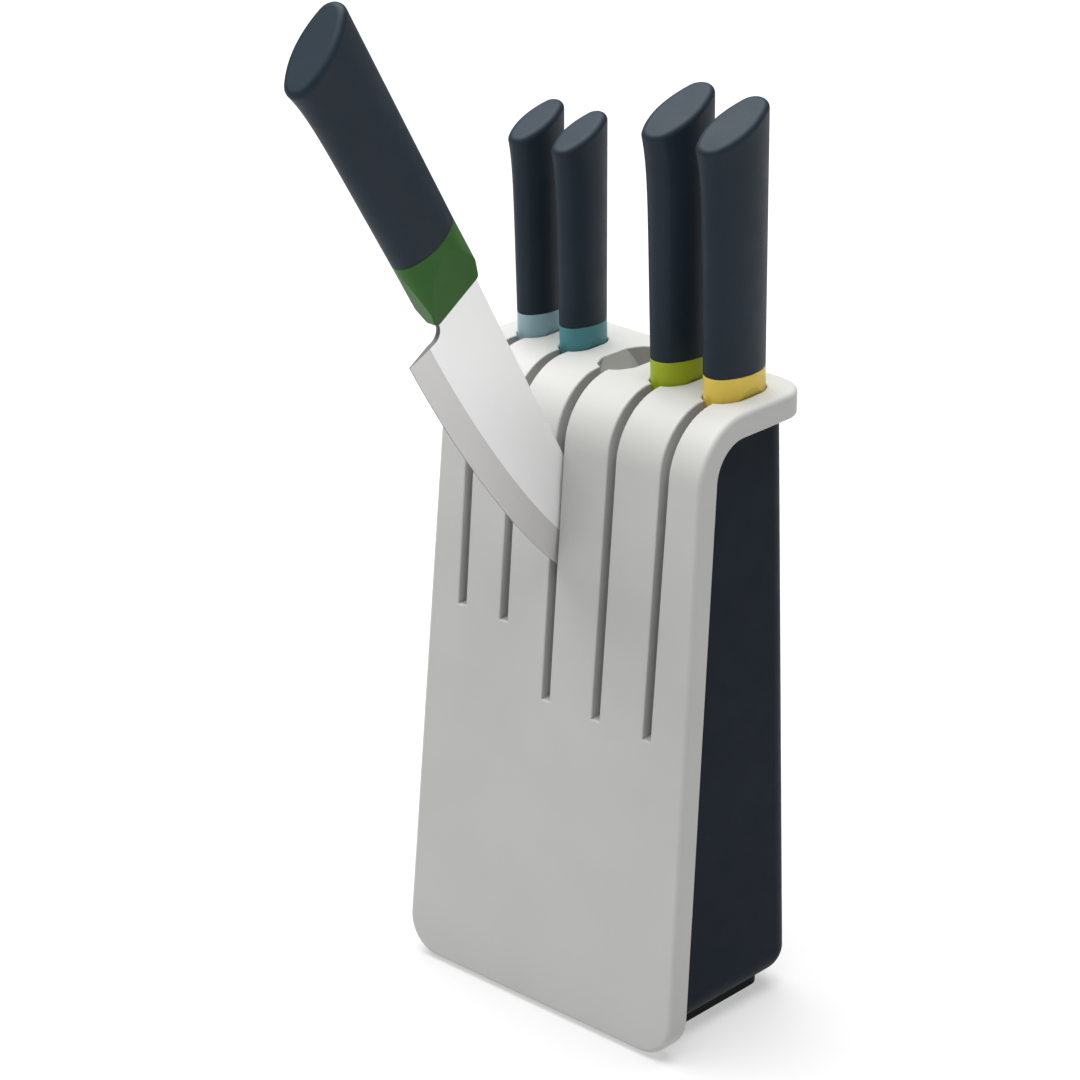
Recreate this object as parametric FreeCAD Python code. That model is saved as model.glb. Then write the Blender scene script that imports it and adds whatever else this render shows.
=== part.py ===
import FreeCAD, Part
import math
import os

# Knife block with five knives.  Millimetres, +Z up, -Y is the front face, +X is to the right.
# Origin: centre of the underside of the rubber foot mat.  Each piece is one STEP file.

V = FreeCAD.Vector

# ---- knives: two handle sizes, and one blade for each slot from left to right -------------------
SMALL = {
    "half_width": 6.5,       # collar, across the blade
    "half_depth": 11.5,      # collar, from edge side to spine side
    "end_r": 4.6,            # radius of the oval's narrow ends
    "collar_show": 8.9,      # coloured band above the top plate, at the axis
    "grip_length": 77.6,     # dark grip, on the handle's axis
    "butt_width": 7.0,       # half width at the butt
    "butt_front": 15.7,      # reach of the flared butt to the front
    "butt_rear": 13.4,       # reach of the butt to the rear
    "spine": 9.0,            # spine of the blade behind the axis
    "choil_r": 1.8,          # round of the neck into the heel
    "tang_width": 8.0,
    "tang_length": 46.0,     # above the top plate's level
    "weight_length": 10.0,
}
LARGE = {
    "half_width": 8.4,
    "half_depth": 15.0,
    "end_r": 6.0,
    "collar_show": 8.9,
    "grip_length": 97.4,
    "butt_width": 9.1,
    "butt_front": 21.3,
    "butt_rear": 16.4,
    "spine": 12.0,
    "choil_r": 4.8,
    "tang_width": 11.0,
    "tang_length": 60.0,
    "weight_length": 13.0,
}
# length, depth at the heel, drop of the tip below the spine and over what length, share of the
# edge's rise in its even belly, ground bevel width, and the pitch of the serration (0 is plain)
BLADES = {
    "paring": {"size": SMALL, "length": 90.0, "depth": 19.0, "drop": 3.0, "drop_run": 40.0,
               "belly": 0.5, "bevel": 7.0, "serration": 0.0},
    "utility": {"size": SMALL, "length": 115.0, "depth": 21.0, "drop": 4.0, "drop_run": 45.0,
                "belly": 0.4, "bevel": 7.0, "serration": 5.0},
    "chef": {"size": LARGE, "length": 167.3, "depth": 41.8, "drop": 2.2, "drop_run": 60.0,
             "belly": 0.6, "bevel": 10.7, "serration": 0.0},
    "santoku": {"size": LARGE, "length": 140.0, "depth": 40.0, "drop": 24.0, "drop_run": 42.0,
                "belly": 0.55, "bevel": 11.0, "serration": 0.0},
    "bread": {"size": LARGE, "length": 200.0, "depth": 31.0, "drop": 6.0, "drop_run": 60.0,
              "belly": 0.25, "bevel": 9.0, "serration": 8.0},
}
ROW = ("paring", "utility", "chef", "santoku", "bread")

blade_thick = 2.0
edge_thick = 0.4         # flat left along the cutting edge
edge_power = 8           # how late the edge sweeps up to the tip
blade_cant = 0.9         # blade's tip swings to the edge side of the handle's axis, degrees
spine_fall = 1.2         # slight fall of the spine before its drop to the tip
choil = 4.2              # bare steel between collar and heel
heel_rise = 1.0          # foot of that round below the point of the heel
neck_front = 4.0         # bare neck behind the front of the collar
scallop_deep = 0.9
scallop_first = 1.5      # centre of the first bite, in pitches from the heel
scallop_share = 0.86     # of the edge that is serrated
seat_depth = 22.9        # collar below the top plate's level
collar_end_half = 1.8    # half width of the collar where the blade comes out
collar_taper = 1.9       # how much the collar's front and rear draw in at its lower end
facet_top = 3.7          # height where the collar's facets and taper run out
collar_front_r = 2.8     # rounding of the collar's lower corners, edge side
collar_rear_r = 1.8      # and spine side
seam_slope = 5.0         # seam of collar and grip, degrees from square: lower at the rear
grip_wall = 2.6          # soft grip over the core
weight_cover = 12.0      # soft grip from the counterweight to the butt
butt_slope = 20.0        # butt cut, degrees from square to the axis
butt_r = 2.4
seam_r = 0.4             # softened edges where grip and collar meet
collar_end_r = 0.5
flare_power = 8          # how late the grip flares towards the butt
flare_share = 0.9        # of the widening to the front
grip_stations = 13
grip_over = 0.1          # share of the grip lofted past each end, then trimmed

knife_lean = 3.7         # stored handles lean forward, degrees
chef_tilt = 32.9         # the chef's handle leans out over its slot, degrees
chef_tip_back = 38.6     # its tip, behind the top of the front face
chef_tip_drop = 92.9     # and below the top plate

# ---- block ---------------------------------------------------------------------------------------
pocket_gap = 0.4         # round the collar in its pocket
pocket_web = 7.85        # plastic between pockets
panel_side = 8.05        # plastic outside the end pockets
pocket_back = 38.3       # pocket centres behind the top of the front face
rear_margin = 10.3       # top plate behind the large pockets
panel_thick = 10.0
panel_lean = 2.8         # front face, degrees from upright
panel_flare = 10.5       # how much wider the panel is at the floor
shoulder_r = 25.0        # outer radius from front face to top plate
panel_base_r = 15.0      # lower corners
panel_rear_r = 14.0      # rear corners of the top plate
panel_edge_r = 2.0       # soft outer edge all round
panel_inner_r = 0.7      # crisper edge towards the housing
panel_gap = 1.5          # panel clear of the table
slot_edge_r = 0.6        # soft edge round slots and pockets
slot_width = 4.0
slot_drop_small = 103.2  # end of the slot below the top plate's level
slot_drop_large = 129.1

housing_inset = 5.95     # housing side inside the panel's edge, at the top
housing_flare = 6.6      # how much wider the housing is at the floor
housing_wall = 2.5
housing_corner_r = 11.0
housing_base_r = 11.5
rear_inset = 4.8         # housing's rear face inside the top plate's edge
rack_gap = 0.3           # rack inside the housing
rack_floor = 2.6         # rack below the seated collar
rack_corner_r = 9.0
rack_lip = 2.2           # rack in front of the large pockets

divider_thick = 1.6
divider_groove = 1.0
divider_top_gap = 8.0    # below the rack
divider_front_gap = 4.0  # behind the panel
divider_front_r = 8.0    # upper corners
divider_rear_r = 4.0

foot_width = 106.0
foot_depth = 65.0
foot_corner_r = 6.5
foot_height = 6.0        # underside of the housing above the table
mat_thick = 1.5
mat_inset = 2.0
tip_room = 24.4          # under the longest blade

screw_r = 1.5
screw_head_r = 3.0
screw_head = 2.0
screw_hole_gap = 0.2
boss_r = 4.0
boss_height = 12.0
base_screw_inset = 12.0  # from the foot's front and rear edges
lug_width = 12.0
rack_screw_inset = 7.0   # from the rack's front and rear faces
rack_screw_bite = 7.0    # into the top plate
hole_end = 2.0           # plastic over the end of a blind screw hole

# ---- worked out ------------------------------------------------------------------------------------
floor_top = foot_height + housing_wall
longest = max(blade["length"] for blade in BLADES.values())
block_height = floor_top + tip_room + longest + choil + seat_depth
row_width = sum(2 * (BLADES[name]["size"]["half_width"] + pocket_gap) for name in ROW)
panel_top_width = row_width + (len(ROW) - 1) * pocket_web + 2 * panel_side
panel_base_width = panel_top_width + panel_flare
face_y = -foot_depth / 2                  # top of the front face
pocket_y = face_y + pocket_back
plate_depth = pocket_back + LARGE["half_depth"] + pocket_gap + rear_margin
plate_rear = face_y + plate_depth
plate_under = block_height - panel_thick
lean_slope = math.tan(math.radians(panel_lean))
knife_slope = math.tan(math.radians(knife_lean))
housing_top_width = panel_top_width - 2 * housing_inset
housing_base_width = housing_top_width + housing_flare
housing_top_rear = plate_rear - rear_inset
rack_under = block_height - seat_depth - rack_floor
seam_rise = math.tan(math.radians(seam_slope))
reach = 400.0                             # longer than anything, for cutting tools
over = 20.0                               # cutting tools past the skin they open
sharp_angle = 30.0                        # an edge turning by more than this counts as sharp
touch = 1e-3                              # two heights or radii closer than this are the same
grind_from = -0.06                        # bevel cutter's start before the heel, share of the edge
grind_to = 1.04                           # and its end past the tip
edge_points = 11                          # points through which the edge's curve runs


def slot_centres():
    """X of each slot: pockets side by side with one web between them."""
    centres = []
    x = -panel_top_width / 2 + panel_side
    for name in ROW:
        half = BLADES[name]["size"]["half_width"] + pocket_gap
        centres.append(x + half)
        x += 2 * half + pocket_web
    return dict(zip(ROW, centres))


def face_at(z):
    """Y of the front face at a height."""
    return face_y - (block_height - z) * lean_slope


def inner_at(z):
    """Y of the panel's rear face at a height."""
    return face_at(z) + panel_thick / math.cos(math.radians(panel_lean))


def rear_at(z):
    """Y of the housing's rear face at a height: it leans as the stored knives do."""
    return housing_top_rear + (plate_under - z) * knife_slope


def on_yz(u, v):
    return V(0, u, v)


def on_xz(u, v):
    return V(u, 0, v)


def on_xy(u, v):
    return V(u, v, 0)


def outline(corners, place):
    """Closed wire through corners (u, v, radius), each corner rounded by its radius."""
    starts = []
    ends = []
    mids = []
    count = len(corners)
    for i in range(count):
        u, v, r = corners[i]
        here = V(u, v, 0)
        before = V(corners[i - 1][0], corners[i - 1][1], 0) - here
        after = V(corners[(i + 1) % count][0], corners[(i + 1) % count][1], 0) - here
        before.normalize()
        after.normalize()
        half = before.getAngle(after) / 2
        back = r / math.tan(half)
        middle = before + after
        if r > 0:
            middle.normalize()
        starts.append(here + before * back)
        ends.append(here + after * back)
        mids.append(here + middle * (r / math.sin(half) - r))
    edges = []
    for i in range(count):
        a, m, b, c = starts[i], mids[i], ends[i], starts[(i + 1) % count]
        if corners[i][2] > 0:
            edges.append(Part.Arc(place(a.x, a.y), place(m.x, m.y), place(b.x, b.y)).toShape())
        if (c - b).Length > touch:
            edges.append(Part.LineSegment(place(b.x, b.y), place(c.x, c.y)).toShape())
    return Part.Wire(edges)


def plate(corners, place, direction, lift=V(0, 0, 0)):
    """Extruded outline: lift moves its plane, direction is the extrusion."""
    face = Part.Face(outline(corners, place))
    face.translate(lift)
    return face.extrude(direction)


def box(x0, x1, y0, y1, z0, z1):
    return Part.makeBox(x1 - x0, y1 - y0, z1 - z0, V(x0, y0, z0))


def rod(r, x, y, z0, z1):
    return Part.makeCylinder(r, z1 - z0, V(x, y, z0))


def oval(half_width, half_depth, end_r, z=0.0, centre=0.0):
    """Oval of four tangent arcs, narrow ends to the front and rear."""
    a, b, r = half_width, half_depth, end_r
    offset = ((b - r) ** 2 - (a - r) ** 2) / (2 * (a - r))
    side_r = a + offset
    length = math.hypot(offset, b - r)
    tx = side_r * offset / length - offset
    ty = side_r * (b - r) / length

    def at(x, y):
        return V(x, centre + y, z)

    return Part.Wire([
        Part.Arc(at(-tx, -ty), at(0, -b), at(tx, -ty)).toShape(),
        Part.Arc(at(tx, -ty), at(a, 0), at(tx, ty)).toShape(),
        Part.Arc(at(tx, ty), at(0, b), at(-tx, ty)).toShape(),
        Part.Arc(at(-tx, ty), at(-a, 0), at(-tx, -ty)).toShape(),
    ])


def oval_prism(half_width, half_depth, end_r, z0, z1):
    return Part.Face(oval(half_width, half_depth, end_r, z0)).extrude(V(0, 0, z1 - z0))


def sharp(edge, solid):
    """True for an edge whose two faces meet at more than the sharp angle."""
    faces = [face for face in solid.Faces if any(edge.isSame(e) for e in face.Edges)]
    if len(faces) != 2:
        return False
    first, last = edge.ParameterRange
    point = edge.valueAt((first + last) / 2)
    normals = [face.normalAt(*face.Surface.parameter(point)) for face in faces]
    return normals[0].getAngle(normals[1]) > math.radians(sharp_angle)


# ---- the block's pieces ------------------------------------------------------------------------------

def collar_form(size, gap, z_top):
    """Tapered oval of a collar in the knife's own frame, grown by a gap: also its pocket."""
    a = size["half_width"] + gap
    b = size["half_depth"] + gap
    z_end = -seat_depth - gap
    body = oval_prism(a, b, size["end_r"] + gap, z_end, z_top)
    slope = (size["half_width"] - collar_end_half) / (seat_depth + facet_top)
    low = collar_end_half + gap
    high = low + slope * (z_top - z_end)
    wedge = plate([(-low, z_end, 0), (low, z_end, 0), (high, z_top, 0), (-high, z_top, 0)],
                  on_xz, V(0, 2 * reach, 0), V(0, -reach, 0))
    end = b - collar_taper
    side = plate([(-end, z_end, collar_front_r), (end, z_end, collar_rear_r),
                  (b, facet_top, 0), (b, z_top, 0), (-b, z_top, 0), (-b, facet_top, 0)],
                 on_yz, V(2 * reach, 0, 0), V(-reach, 0, 0))
    return body.common(wedge).common(side)


def seated(shape, name):
    """Move a shape from the knife's own frame to its seat in the block."""
    placed = shape.copy()
    placed.rotate(V(0, 0, 0), V(1, 0, 0), knife_lean)
    placed.translate(V(slot_centres()[name], pocket_y, block_height))
    return placed


def panel_form():
    """The panel before its slots: front face, shoulder and top plate in one bent sheet."""
    foot_z = panel_gap
    side = plate([
        (face_at(foot_z), foot_z, 0),
        (face_y, block_height, shoulder_r),
        (plate_rear, block_height, 0),
        (plate_rear, plate_under, 0),
        (inner_at(plate_under), plate_under, shoulder_r - panel_thick),
        (inner_at(foot_z), foot_z, 0),
    ], on_yz, V(2 * reach, 0, 0), V(-reach, 0, 0))
    slope = panel_flare / 2 / block_height
    low = panel_base_width / 2 - foot_z * slope
    high = panel_top_width / 2 - slope
    front = plate([
        (-low, foot_z, panel_base_r), (low, foot_z, panel_base_r),
        (high, block_height + 1, 0), (-high, block_height + 1, 0),
    ], on_xz, V(0, 2 * reach, 0), V(0, -reach, 0))
    return side.common(front)


def front_panel():
    panel = panel_form()
    corners = [e for e in panel.Edges
               if min(v.Y for v in e.Vertexes) > plate_rear - 0.1
               and abs(e.Vertexes[0].Z - e.Vertexes[-1].Z) > panel_thick / 2]
    panel = panel.makeFillet(panel_rear_r, corners)
    inner = inner_faces(panel)
    outer_rim = [e for e in panel.Edges if sharp(e, panel)
                 and not any(e.isSame(edge) for face in inner for edge in face.Edges)]
    panel = panel.makeFillet(panel_edge_r, outer_rim)
    panel = panel.makeFillet(panel_inner_r, [e for e in panel.Edges if sharp(e, panel)])
    for x, y in base_screw_places()[:2]:
        lug = box(x - lug_width / 2, x + lug_width / 2, face_at(floor_top) + panel_thick / 2,
                  y + lug_width / 2, floor_top, floor_top + boss_height)
        panel = panel.fuse(lug)
    panel = panel.removeSplitter()
    cuts = [rod(screw_r, x, y, foot_height, floor_top + boss_height - hole_end)
            for x, y in base_screw_places() if y < 0]
    cuts += [rod(screw_r, x, y, rack_under, plate_under + rack_screw_bite)
             for x, y in rack_screw_places()]
    for name, x in slot_centres().items():
        size = BLADES[name]["size"]
        drop = slot_drop_small if size is SMALL else slot_drop_large
        cuts.append(box(x - slot_width / 2, x + slot_width / 2, -reach, pocket_y,
                        block_height - drop, block_height + over))
        cuts.append(seated(collar_form(size, pocket_gap, over), name))
    panel = panel.cut(cuts)
    return panel.makeFillet(slot_edge_r, slot_rims(panel))


def inner_faces(panel):
    """Faces of the panel towards the housing: its back, the inner bend and the underside."""
    faces = []
    for face in panel.Faces:
        kind = face.Surface.TypeId
        centre = face.CenterOfMass
        if kind == "Part::GeomCylinder":
            bend = abs(face.Surface.Radius - (shoulder_r - panel_thick)) < touch
            if bend and abs(face.Surface.Axis.x) > 0.99:
                faces.append(face)
        elif kind == "Part::GeomPlane":
            back = abs(centre.y - inner_at(centre.z)) < touch
            if back or abs(centre.z - plate_under) < touch:
                faces.append(face)
    return faces


def slot_rims(panel):
    """Sharp edges where the slots and pockets break the panel's outer skin."""
    rims = []
    for face in panel.Faces:
        normal = face.normalAt(*face.Surface.parameter(face.CenterOfMass))
        kind = face.Surface.TypeId
        shoulder = kind == "Part::GeomCylinder" and abs(face.Surface.Radius - shoulder_r) < touch
        front = kind == "Part::GeomPlane" and normal.y < -0.99
        front = front and abs(face.CenterOfMass.y - face_at(face.CenterOfMass.z)) < touch
        top = kind == "Part::GeomPlane" and abs(face.CenterOfMass.z - block_height) < touch
        if shoulder or front or top:
            rims += [e for e in face.Edges
                     if sharp(e, panel) and not any(e.isSame(rim) for rim in rims)]
    return rims


def rack_front():
    return pocket_y - LARGE["half_depth"] - pocket_gap - rack_lip


def rack_rear():
    return rear_at(plate_under) - housing_wall - rack_gap


def rack_screw_places():
    """Two screws in the web after the first knife, and two in the web before the last."""
    x = list(slot_centres().values())
    sizes = [BLADES[name]["size"]["half_width"] for name in ROW]
    left = (x[0] + sizes[0] + x[1] - sizes[1]) / 2
    right = (x[-2] + sizes[-2] + x[-1] - sizes[-1]) / 2
    front = rack_front() + rack_screw_inset
    rear = rack_rear() - rack_screw_inset
    return [(left, front), (right, front), (left, rear), (right, rear)]


def pocket_rack():
    """Sockets under the top plate: each holds a collar, with a slot for the blade below it."""
    half = housing_top_width / 2 - housing_wall - rack_gap
    rack = plate([
        (-half, rack_front(), 0), (half, rack_front(), 0),
        (half, rack_rear(), rack_corner_r), (-half, rack_rear(), rack_corner_r),
    ], on_xy, V(0, 0, plate_under - rack_under), V(0, 0, rack_under))
    cuts = [panel_form()]
    for name in ROW:
        size = BLADES[name]["size"]
        cuts.append(seated(collar_form(size, pocket_gap, over), name))
        slot = box(-slot_width / 2, slot_width / 2, -reach, size["spine"] + 2 * pocket_gap,
                   -seat_depth - over, 0)
        cuts.append(seated(slot, name))
    for x, y in rack_screw_places():
        cuts.append(rod(screw_r + screw_hole_gap, x, y, rack_under, plate_under))
        cuts.append(rod(screw_head_r + screw_hole_gap, x, y, rack_under, rack_under + screw_head))
    return rack.cut(cuts)


def rack_screws():
    return Part.Compound([
        rod(screw_r, x, y, rack_under + screw_head, plate_under + rack_screw_bite).fuse(
            rod(screw_head_r, x, y, rack_under, rack_under + screw_head)).removeSplitter()
        for x, y in rack_screw_places()])


def housing_loft(inset, z0, z1, corner_r):
    """Tapered box with round rear corners, open range to the front for cutting back."""
    sections = []
    for z in (z0, z1):
        share = (plate_under - z) / (plate_under - foot_height)
        half = (housing_top_width + housing_flare * share) / 2 - inset
        rear = rear_at(z) - inset
        front = face_at(0) - panel_thick
        wire = outline([(-half, front, 0), (half, front, 0), (half, rear, corner_r),
                        (-half, rear, corner_r)], on_xy)
        wire.translate(V(0, 0, z))
        sections.append(wire)
    return Part.makeLoft(sections, True, True)


def base_edges(solid, z):
    """Edges round the underside, without the one across the front."""
    return [e for e in solid.Edges
            if max(abs(v.Z - z) for v in e.Vertexes) < touch
            and max(v.Y for v in e.Vertexes) > face_y
            and e.CenterOfMass.z - z < touch]


def rear_housing():
    outer = housing_loft(0, foot_height, plate_under, housing_corner_r)
    outer = outer.makeFillet(housing_base_r, base_edges(outer, foot_height))
    inner = housing_loft(housing_wall, floor_top, plate_under + over,
                         housing_corner_r - housing_wall)
    inner = inner.makeFillet(housing_base_r - housing_wall, base_edges(inner, floor_top))
    behind = plate([
        (inner_at(0), 0, 0), (inner_at(plate_under), plate_under, shoulder_r - panel_thick),
        (reach, plate_under, 0), (reach, 0, 0),
    ], on_yz, V(2 * reach, 0, 0), V(-reach, 0, 0))
    shell = outer.cut(inner).common(behind)
    bosses = [rod(boss_r, x, y, foot_height, floor_top + boss_height)
              for x, y in base_screw_places() if y > 0]
    shell = shell.fuse(bosses).removeSplitter()
    cuts = [divider(i) for i in range(len(ROW) - 1)]
    cuts += [rod(screw_r, x, y, foot_height, floor_top + boss_height - hole_end)
             for x, y in base_screw_places()]
    return shell.cut(cuts)


def divider_centres():
    x = list(slot_centres().values())
    return [(a + b) / 2 for a, b in zip(x, x[1:])]


def divider(i):
    """Upright sheet between two blades, let into the housing's floor and rear wall."""
    middle = divider_centres()[i]
    low = floor_top - divider_groove
    high = rack_under - divider_top_gap
    into_rear = divider_groove - housing_wall
    step = housing_base_r
    return plate([
        (inner_at(low) + divider_front_gap, low, 0),
        (rear_at(low) + into_rear - step, low, 0),
        (rear_at(low + step) + into_rear, low + step, 0),
        (rear_at(high) + into_rear, high, divider_rear_r),
        (inner_at(high) + divider_front_gap, high, divider_front_r),
    ], on_yz, V(divider_thick, 0, 0), V(middle - divider_thick / 2, 0, 0))


def base_screw_places():
    """Two screws midway between dividers in the second bay, and two in the fourth."""
    middles = divider_centres()
    left = (middles[0] + middles[1]) / 2
    right = (middles[-2] + middles[-1]) / 2
    y = foot_depth / 2 - base_screw_inset
    return [(left, -y), (right, -y), (left, y), (right, y)]


def foot_sheet(inset, z0, z1):
    x = foot_width / 2 - inset
    y = foot_depth / 2 - inset
    r = foot_corner_r - inset
    return plate([(-x, -y, r), (x, -y, r), (x, y, r), (-x, y, r)],
                 on_xy, V(0, 0, z1 - z0), V(0, 0, z0))


def foot_plinth():
    cuts = []
    for x, y in base_screw_places():
        cuts.append(rod(screw_r + screw_hole_gap, x, y, mat_thick, foot_height))
        cuts.append(rod(screw_head_r + screw_hole_gap, x, y, mat_thick, mat_thick + screw_head))
    return foot_sheet(0, mat_thick, foot_height).cut(cuts)


def foot_mat():
    return foot_sheet(mat_inset, 0, mat_thick)


def base_screws():
    top = floor_top + boss_height - hole_end
    return Part.Compound([
        rod(screw_r, x, y, mat_thick + screw_head, top).fuse(
            rod(screw_head_r, x, y, mat_thick, mat_thick + screw_head)).removeSplitter()
        for x, y in base_screw_places()])


# ---- the knives' pieces, each in the knife's own frame: +Z up the handle, -Y the cutting edge -------

def edge_point(blade, s):
    """Point of the cutting edge, s from 0 at the heel to 1 at the tip."""
    size = blade["size"]
    heel = size["spine"] - blade["depth"]
    rise = blade["depth"] - blade["drop"]
    lift = blade["belly"] * s ** 2 + (1 - blade["belly"]) * s ** edge_power
    return V(0, heel + rise * lift, -seat_depth - choil - blade["length"] * s)


def edge_inward(blade, s):
    """Direction square to the edge, towards the spine."""
    along = edge_point(blade, s + 0.001) - edge_point(blade, s - 0.001)
    along.normalize()
    return V(0, -along.z, along.y)


def edge_curve(blade, inward, x, s0, s1):
    points = []
    for i in range(edge_points):
        s = s0 + (s1 - s0) * i / (edge_points - 1)
        point = edge_point(blade, s) + edge_inward(blade, s) * inward
        points.append(V(x, point.y, point.z))
    curve = Part.BSplineCurve()
    curve.interpolate(points)
    return curve.toShape()


def bevel_cutter(blade, side):
    """Solid that grinds one side of the blade from the bevel line down to the edge."""
    half = blade_thick / 2
    slope = (half - edge_thick / 2) / blade["bevel"]
    past = blade_thick
    rails = []
    for inward, x in ((blade["bevel"] + past, half + past * slope),
                      (-past, edge_thick / 2 - past * slope),
                      (-past, half + past), (blade["bevel"] + past, half + past)):
        rails.append(edge_curve(blade, inward, side * x, grind_from, grind_to))
    faces = [Part.makeRuledSurface(rails[i], rails[(i + 1) % 4]) for i in range(4)]
    for end in (0, -1):
        corners = [rail.Vertexes[end].Point for rail in rails]
        faces.append(Part.Face(Part.makePolygon(corners + corners[:1])))
    solid = Part.Solid(Part.Shell(faces))
    solid.fix(1e-6, 1e-6, 1e-6)
    return solid


def canted(shape):
    """Turn a blade, or a point of it, about the middle of the collar's end."""
    turned = shape.copy()
    turned.rotate(V(0, 0, -seat_depth), V(1, 0, 0), -blade_cant)
    return turned


def blade(name):
    spec = BLADES[name]
    size = spec["size"]
    half = blade_thick / 2
    spine = size["spine"]
    neck = neck_front - size["half_depth"]
    heel = edge_point(spec, 0)
    tip = edge_point(spec, 1)
    run = spec["drop_run"]
    drop = spec["drop"] - spine_fall
    drop_r = (run ** 2 + drop ** 2) / (2 * drop)
    angle = math.asin(run / drop_r) / 2
    start = V(0, spine - spine_fall, tip.z + run)
    bend = start + V(0, -drop_r * (1 - math.cos(angle)), -drop_r * math.sin(angle))
    choil_r = size["choil_r"]
    turn = V(0, neck, heel.z - heel_rise)
    low = turn + V(0, -choil_r, 0)
    high = turn + V(0, 0, choil_r)
    middle = turn + V(0, -choil_r, choil_r) + V(0, math.sqrt(0.5), -math.sqrt(0.5)) * choil_r
    above = over - seat_depth
    path = [high, V(0, neck, above), V(0, spine, above), V(0, spine, -seat_depth), start]
    edges = [Part.LineSegment(a, b).toShape() for a, b in zip(path, path[1:])]
    edges.append(Part.Arc(start, bend, tip).toShape())
    edges.append(edge_curve(spec, 0, 0, 0, 1))
    edges.append(Part.LineSegment(heel, low).toShape())
    edges.append(Part.Arc(low, middle, high).toShape())
    face = Part.Face(Part.Wire(Part.__sortEdges__(edges)))
    face.translate(V(-half, 0, 0))
    sheet = face.extrude(V(blade_thick, 0, 0))
    sheet = sheet.cut([bevel_cutter(spec, 1), bevel_cutter(spec, -1)])
    if spec["serration"]:
        sheet = sheet.cut(scallops(spec))
    tang = size["tang_width"] / 2
    tang = box(-half, half, -tang, tang, -seat_depth, size["tang_length"])
    sheet = canted(sheet).cut(box(-reach, reach, -reach, reach, -seat_depth, reach))
    return sheet.fuse(tang).removeSplitter()


def scallops(spec):
    """Round bites along a serrated edge."""
    pitch = spec["serration"]
    r = (pitch ** 2 / 4 + scallop_deep ** 2) / (2 * scallop_deep)
    count = int(scallop_share * spec["length"] / pitch)
    tools = []
    for i in range(count):
        s = (i + scallop_first) * pitch / spec["length"]
        centre = edge_point(spec, s) + edge_inward(spec, s) * (scallop_deep - r)
        tools.append(Part.makeCylinder(r, 2 * blade_thick, V(-blade_thick, centre.y, centre.z),
                                       V(1, 0, 0)))
    return tools


def rim_edges(solid, z):
    """Edges that lie at one height."""
    return [e for e in solid.Edges
            if max(abs(e.BoundBox.ZMin - z), abs(e.BoundBox.ZMax - z)) < touch]


def seam_edges(solid, size):
    """Edges that lie in the sloping seam plane."""
    found = []
    for e in solid.Edges:
        first, last = e.ParameterRange
        points = [e.valueAt(first + (last - first) * i / 4) for i in range(5)]
        if all(abs(p.z + p.y * seam_rise - size["collar_show"]) < touch for p in points):
            found.append(e)
    return found


def above_seam(size):
    """Everything on the grip's side of the seam, as a block."""
    block = box(-reach / 2, reach / 2, -reach / 2, reach / 2, 0, reach)
    block.rotate(V(0, 0, 0), V(1, 0, 0), -seam_slope)
    block.translate(V(0, 0, size["collar_show"]))
    return block


def core_top(size):
    return size["collar_show"] + size["grip_length"] - size["weight_length"] - weight_cover


def core_oval(size, z0, z1):
    return oval_prism(size["half_width"] - grip_wall, size["half_depth"] - grip_wall,
                      size["end_r"] - grip_wall, z0, z1)


def collar(name):
    """Coloured collar with the core that rises inside the grip, slotted for the tang."""
    size = BLADES[name]["size"]
    body = collar_form(size, 0, size["collar_show"] + over).cut(above_seam(size))
    body = body.makeFillet(seam_r, seam_edges(body, size))
    body = body.makeFillet(collar_end_r, rim_edges(body, -seat_depth))
    core = core_oval(size, 0, core_top(size))
    tang = size["tang_width"] / 2
    slot = box(-blade_thick / 2, blade_thick / 2, -tang, tang, -seat_depth, size["tang_length"])
    return body.fuse(core).removeSplitter().cut(slot)


def counterweight(name):
    size = BLADES[name]["size"]
    return core_oval(size, core_top(size), core_top(size) + size["weight_length"])


def grip_station(size, t):
    """Section of the grip, t from 0 at the collar to 1 at the butt on the handle's axis."""
    flare = (1 - flare_share) * t + flare_share * t ** flare_power
    front = size["half_depth"] + (size["butt_front"] - size["half_depth"]) * flare
    rear = size["half_depth"] + (size["butt_rear"] - size["half_depth"]) * t
    wide = size["half_width"] + (size["butt_width"] - size["half_width"]) * t
    end_r = size["end_r"] * wide / size["half_width"]
    z = size["collar_show"] + size["grip_length"] * t
    return oval(wide, (front + rear) / 2, end_r, z, (rear - front) / 2)


def grip(name):
    """Soft dark grip over the core: it widens upwards and flares to the front at the butt."""
    size = BLADES[name]["size"]
    low = size["collar_show"]
    step = (1 + 2 * grip_over) / (grip_stations - 1)
    stations = [grip_station(size, i * step - grip_over) for i in range(grip_stations)]
    body = Part.makeLoft(stations, True, False).common(above_seam(size))
    cutter = box(-reach / 2, reach / 2, -reach / 2, reach / 2, 0, reach)
    cutter.rotate(V(0, 0, 0), V(1, 0, 0), butt_slope)
    cutter.translate(V(0, 0, low + size["grip_length"]))
    body = body.cut(cutter)
    rim = [e for e in body.Edges
           if min(v.Z for v in e.Vertexes) > low + size["grip_length"] / 2 and sharp(e, body)]
    body = body.makeFillet(butt_r, rim)
    body = body.makeFillet(seam_r, seam_edges(body, size))
    return body.cut(core_oval(size, 0, core_top(size) + size["weight_length"]))


def chef_placed(shape):
    """The chef's knife hangs out of its slot, its tip at a set place inside the block."""
    tip = canted(Part.Vertex(edge_point(BLADES["chef"], 1))).Point
    placed = shape.copy()
    placed.translate(V(0, -tip.y, -tip.z))
    placed.rotate(V(0, 0, 0), V(1, 0, 0), chef_tilt)
    placed.translate(V(slot_centres()["chef"], face_y + chef_tip_back,
                       block_height - chef_tip_drop))
    return placed


def knife_placed(shape, name):
    return chef_placed(shape) if name == "chef" else seated(shape, name)


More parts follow.
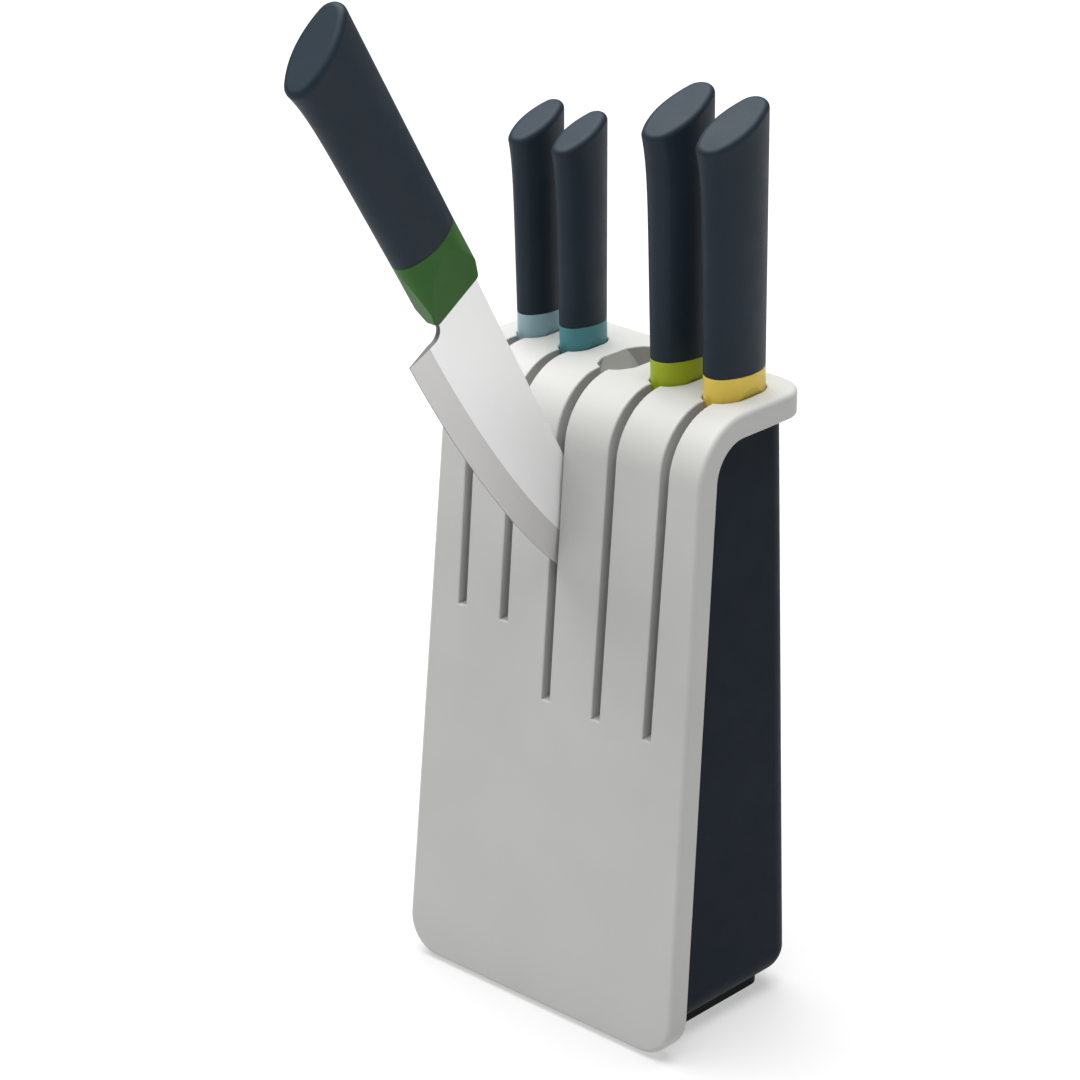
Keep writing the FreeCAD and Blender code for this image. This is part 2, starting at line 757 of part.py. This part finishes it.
def pieces():
    nodes = {
        "front_panel": front_panel(),
        "pocket_rack": pocket_rack(),
        "rack_screws": rack_screws(),
        "rear_housing": rear_housing(),
        "foot_plinth": foot_plinth(),
        "foot_mat": foot_mat(),
        "base_screws": base_screws(),
    }
    for i in range(len(ROW) - 1):
        nodes["divider_%d" % (i + 1)] = divider(i)
    for name in ROW:
        nodes[name + "_blade"] = knife_placed(blade(name), name)
        nodes[name + "_collar"] = knife_placed(collar(name), name)
        nodes[name + "_grip"] = knife_placed(grip(name), name)
        nodes[name + "_weight"] = knife_placed(counterweight(name), name)
    return nodes


def main():
    os.makedirs("parts", exist_ok=True)
    for node, shape in pieces().items():
        bad = "" if shape.isValid() else "  NOT VALID"
        print("%-16s solids %d  volume %.0f mm3%s" % (node, len(shape.Solids), shape.Volume, bad))
        shape.exportStep("parts/%s.step" % node)
    print("block height %.1f, top width %.1f, top depth %.1f"
          % (block_height, panel_top_width, plate_depth))


main()
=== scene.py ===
import math

import bmesh
import bpy
from mathutils import Matrix, Vector

# A knife block with five knives.  Metres throughout; MM turns a drawing's millimetres into metres.

MM = 0.001
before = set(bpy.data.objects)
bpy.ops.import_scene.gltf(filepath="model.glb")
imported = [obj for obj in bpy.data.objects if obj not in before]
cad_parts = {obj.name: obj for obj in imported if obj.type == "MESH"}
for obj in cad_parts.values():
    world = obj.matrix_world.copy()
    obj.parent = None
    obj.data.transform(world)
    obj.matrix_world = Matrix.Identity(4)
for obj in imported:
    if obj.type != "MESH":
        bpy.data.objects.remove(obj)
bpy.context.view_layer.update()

KNIVES = ("paring", "utility", "chef", "santoku", "bread")
DIVIDERS = ("divider_1", "divider_2", "divider_3", "divider_4")

# Noise runs about its middle: below the first place it has its low value, above the second its high.
LOW, HIGH = 0.3, 0.7
WIDE_LOW, WIDE_HIGH = 0.25, 0.75

CLOUD = 38 * MM          # flow clouding in a moulding
HANDLED = 9 * MM         # patches of different gloss
SPARK = 0.7 * MM         # spark-eroded skin: really about 0.1 mm, drawn coarser so that it shows
STEEL_CLOUD = 30 * MM    # faint clouding of the blade's steel
BRUSHING = 0.5 * MM      # brushing lines: really about 0.05 mm, drawn coarser so that they show
BRUSHED_LINES = (1, 0.06, 1)    # and drawn out into long lines across the blade
GRINDING = 0.6 * MM      # grinding marks, coarser than the real ones in the same way
GROUND_MARKS = (1, 0.1, 1)      # and drawn out less
PLATING = 4 * MM         # clouding of the zinc plating
FLOOR_CLOUD = 0.4        # trace of unevenness in the floor

# Share of a blade face's normal along X.
FLAT_FACING = 0.9986     # over this it is the flat
SIDE_FACING = 0.5        # over this it is the flat or the bevel, under it the narrow faces at spine, heel and choil, which get painted shade

FLOOR_HALF = 6


# ---- nodes ----------------------------------------------------------------------------------------

def linear(hex_colour):
    """sRGB hex to a linear RGBA tuple."""
    channels = [int(hex_colour[i:i + 2], 16) / 255 for i in (0, 2, 4)]
    return tuple(c / 12.92 if c <= 0.04045 else ((c + 0.055) / 1.055) ** 2.4
                 for c in channels) + (1.0,)


def feed(tree, made, inputs):
    """Set a node's inputs: a socket is linked, and anything else is a value."""
    for key, source in inputs.items():
        if isinstance(source, bpy.types.NodeSocket):
            tree.links.new(source, made.inputs[key])
        else:
            made.inputs[key].default_value = source


def node(tree, kind, inputs, stops=(), **settings):
    """Add a node with its inputs and properties.  Stops are the places along a colour ramp, each
    with a hex colour or a grey value."""
    made = tree.nodes.new(kind)
    for key, value in settings.items():
        setattr(made, key, value)
    feed(tree, made, inputs)
    for i, (place, value) in enumerate(stops):
        colour = linear(value) if isinstance(value, str) else (value, value, value, 1)
        made.color_ramp.elements[i].position = place
        made.color_ramp.elements[i].color = colour
    return made


def surface(name, **settings):
    """New material with one Principled shader; returns material, tree and shader."""
    made = bpy.data.materials.new(name)
    made.use_nodes = True
    shader = made.node_tree.nodes["Principled BSDF"]
    feed(made.node_tree, shader, {key.replace("_", " "): value for key, value in settings.items()})
    return made, made.node_tree, shader


def grain(tree, size, detail, stretch=(1, 1, 1)):
    """Noise whose features are about size metres across, on Object coordinates."""
    place = node(tree, "ShaderNodeTexCoord", {}).outputs["Object"]
    stretched = node(tree, "ShaderNodeMapping", {"Vector": place, "Scale": stretch})
    made = node(tree, "ShaderNodeTexNoise", {
        "Vector": stretched.outputs["Vector"], "Scale": 1 / size, "Detail": detail,
        "Roughness": 0.55})
    return made.outputs["Fac"]


def patches(tree, size, detail, low, high, stretch=(1, 1, 1), ends=(LOW, HIGH)):
    """Grain spread between two hex colours or two grey values."""
    noise = grain(tree, size, detail, stretch)
    return node(tree, "ShaderNodeValToRGB", {"Fac": noise}, zip(ends, (low, high))).outputs["Color"]


# ---- finishes -------------------------------------------------------------------------------------

def moulded_plastic(name, low, high, roughness, texture_size, texture_depth, **settings):
    """Injection moulded plastic: a spark-eroded satin skin, a trace of flow clouding in the
    colour, and gloss that wanders a little where it has been handled."""
    made, tree, shader = surface(name, IOR=1.5, **settings)
    texture = node(tree, "ShaderNodeBump", {
        "Height": grain(tree, texture_size, 1), "Strength": 1.0, "Distance": texture_depth})
    feed(tree, shader, {
        "Base Color": patches(tree, CLOUD, 3, low, high),
        "Roughness": patches(tree, HANDLED, 4, roughness - 0.04, roughness + 0.05,
                             ends=(WIDE_LOW, WIDE_HIGH)),
        "Normal": texture.outputs["Normal"],
    })
    return made


def pale_abs():
    """Pale grey ABS: near white where the light falls, mid grey in shade, soft satin gloss."""
    return moulded_plastic("pale_satin_abs", "B6B6B3", "BABAB7", 0.5, SPARK, 0.012 * MM,
                           Specular_IOR_Level=0.3)


def navy_abs():
    """Blue-black ABS: the shell almost disappears in shade and shows blue only in the light."""
    return moulded_plastic("navy_satin_abs", "111B25", "151F29", 0.5, SPARK, 0.012 * MM,
                           Specular_IOR_Level=0.05)


def black_abs():
    """Black ABS of the recessed foot: so dark and matt that it reads as the block's shadow."""
    return moulded_plastic("black_satin_abs", "08090A", "0C0D0E", 0.62, SPARK, 0.015 * MM,
                           Specular_IOR_Level=0.12)


def mat_rubber():
    """Black rubber: duller than the plastic, with a coarser pebbled skin."""
    return moulded_plastic("black_foot_rubber", "08080A", "0E0E10", 0.78, 0.9 * MM, 0.05 * MM,
                           Specular_IOR_Level=0.15)


def soft_grip():
    """Soft-touch elastomer moulded over the core: matt, with a faint bloom at grazing light."""
    return moulded_plastic("navy_soft_touch_grip", "1F2A33", "232E38", 0.5, 0.6 * MM, 0.02 * MM,
                           Specular_IOR_Level=0.16)


def collar_plastic(name, low, high):
    """Tinted satin polypropylene: a little light enters it, so the colour stays lively."""
    return moulded_plastic(name, low, high, 0.42, SPARK, 0.01 * MM,
                           Specular_IOR_Level=0.2, Subsurface_Weight=0.08,
                           Subsurface_Radius=(0.6 * MM, 0.6 * MM, 0.6 * MM))


def blade_steel():
    """Stainless blade: a bright cross-brushed flat, below a crisp line the duller grey bevel with
    grinding marks, and painted shade, a dark grey, on the narrow faces at spine, heel and choil.
    The flats face exactly sideways and the bevel leans by about four degrees, so the share of
    a face's normal along X tells the three apart."""
    made, tree, shader = surface("three_finish_blade_steel", Metallic=1.0, Anisotropic=0.8)
    normal = node(tree, "ShaderNodeNewGeometry", {}).outputs["True Normal"]
    sideways = node(tree, "ShaderNodeSeparateXYZ", {"Vector": normal}).outputs["X"]
    sideways = node(tree, "ShaderNodeMath", {0: sideways}, operation="ABSOLUTE").outputs[0]
    flat, side = (
        node(tree, "ShaderNodeMath", {0: sideways, 1: limit}, operation="GREATER_THAN").outputs[0]
        for limit in (FLAT_FACING, SIDE_FACING))
    bright = patches(tree, STEEL_CLOUD, 3, "F8F8F8", "FBFBFB")
    grey = patches(tree, GRINDING, 2, "D3D2D1", "D6D5D4", GROUND_MARKS)
    # painted shade: the narrow faces at spine, heel and choil are coloured dark grey
    painted_shade_edge = patches(tree, GRINDING, 2, "5A5C5E", "6B6D6F", GROUND_MARKS)
    satin = patches(tree, BRUSHING, 2, 0.5, 0.56, BRUSHED_LINES)
    ground = patches(tree, GRINDING, 2, 0.48, 0.52, GROUND_MARKS)
    sheet = node(tree, "ShaderNodeMix", {0: flat, 6: grey, 7: bright}, data_type="RGBA").outputs[2]
    feed(tree, shader, {
        "Base Color": node(tree, "ShaderNodeMix", {0: side, 6: painted_shade_edge, 7: sheet},
                           data_type="RGBA").outputs[2],
        "Roughness": node(tree, "ShaderNodeMix", {0: flat, 6: ground, 7: satin},
                          data_type="RGBA").outputs[2],
        "Tangent": node(tree, "ShaderNodeCombineXYZ", {"Y": 1.0}).outputs["Vector"],
    })
    return made


def plain_steel():
    """Zinc-plated screw and turned steel slug: grey metal with a cloudy plating."""
    made, tree, shader = surface("plated_steel", Metallic=1.0)
    feed(tree, shader, {
        "Base Color": patches(tree, PLATING, 3, "8E8F90", "A8A9AA"),
        "Roughness": patches(tree, PLATING, 3, 0.32, 0.45),
    })
    return made


# ---- which material each piece takes -----------------------------------------------------------------

def clothe(finishes):
    """Give each CAD node named its one material."""
    for name, material in finishes.items():
        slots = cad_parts[name].data.materials
        slots.clear()
        slots.append(material)


def dress_block(steel):
    pale = pale_abs()
    navy = navy_abs()
    clothe({
        "front_panel": pale,
        "pocket_rack": pale,
        "rear_housing": navy,
        "foot_plinth": black_abs(),
        "foot_mat": mat_rubber(),
        "rack_screws": steel,
        "base_screws": steel,
    })
    clothe({name: navy for name in DIVIDERS})


def dress_knives(steel):
    grip = soft_grip()
    blade = blade_steel()
    collars = {
        "paring": collar_plastic("pale_teal_pp", "94B2BA", "9BBAC2"),
        "utility": collar_plastic("teal_pp", "4A848D", "528D95"),
        "chef": collar_plastic("leaf_green_pp", "26581A", "2E621F"),
        "santoku": collar_plastic("lime_pp", "A0B024", "A8B92B"),
        "bread": collar_plastic("corn_yellow_pp", "E2C552", "EACD5C"),
    }
    for name in KNIVES:
        clothe({
            name + "_grip": grip,
            name + "_blade": blade,
            name + "_collar": collars[name],
            name + "_weight": steel,
        })


# ---- stage -----------------------------------------------------------------------------------------

def link(name, data):
    """New object in the scene."""
    made = bpy.data.objects.new(name, data)
    bpy.context.scene.collection.objects.link(made)
    return made


def pale_floor():
    """White acrylic sweep lit from below, so shadows on it stay faint."""
    mesh = bpy.data.meshes.new("floor")
    form = bmesh.new()
    bmesh.ops.create_grid(form, x_segments=1, y_segments=1, size=FLOOR_HALF)
    form.to_mesh(mesh)
    form.free()
    floor = link("floor", mesh)
    made, tree, shader = surface("backlit_acrylic", Roughness=0.9, Emission_Strength=0.46,
                                 Emission_Color=(1, 1, 1, 1))
    feed(tree, shader, {"Base Color": patches(tree, FLOOR_CLOUD, 2, "9C9C9D", "A0A0A1")})
    floor.data.materials.append(made)


def softbox(name, place, aim, size, power):
    """Rectangular soft light at a place, turned to its aim; power in watts."""
    lamp = bpy.data.lights.new(name, "AREA")
    lamp.shape = "RECTANGLE"
    lamp.size, lamp.size_y = size
    lamp.energy = power
    made = link(name, lamp)
    made.location = place
    made.rotation_euler = (Vector(aim) - Vector(place)).to_track_quat("-Z", "Y").to_euler()


def studio():
    """Large soft light overhead, a weak one in front, and dim surroundings."""
    softbox("overhead", place=(-0.6, 0.0, 4.0), aim=(0, 0, 0.1), size=(5.0, 5.0), power=480)
    softbox("front_fill", place=(-1.2, -2.4, 1.2), aim=(0, 0, 0.15), size=(2.0, 1.6), power=4)
    world = bpy.data.worlds.new("studio")
    world.use_nodes = True
    feed(world.node_tree, world.node_tree.nodes["Background"],
         {"Color": (1, 1, 1, 1), "Strength": 0.1})
    bpy.context.scene.world = world
    bpy.context.scene.view_settings.view_transform = "Standard"


def camera():
    """Long lens from the front right, a little above the block, with a slight roll."""
    azimuth = math.radians(41.22)
    elevation = math.radians(23.10)
    roll = math.radians(1.29)
    distance = 1.4154
    aim = Vector((0, -0.0482, 0.2022))
    back = Vector((math.sin(azimuth) * math.cos(elevation),
                   -math.cos(azimuth) * math.cos(elevation), math.sin(elevation)))
    right = Vector((math.cos(azimuth), math.sin(azimuth), 0))
    up = back.cross(right)
    x_axis = math.cos(roll) * right + math.sin(roll) * up
    y_axis = math.cos(roll) * up - math.sin(roll) * right
    turn = Matrix((x_axis, y_axis, back)).transposed()
    data = bpy.data.cameras.new("camera")
    data.sensor_width = 36
    data.lens = 125.68
    made = link("camera", data)
    made.matrix_world = Matrix.Translation(aim + back * distance) @ turn.to_4x4()
    bpy.context.scene.camera = made


# ---- build -----------------------------------------------------------------------------------------

camera()
studio()
pale_floor()
plated = plain_steel()
dress_block(plated)
dress_knives(plated)
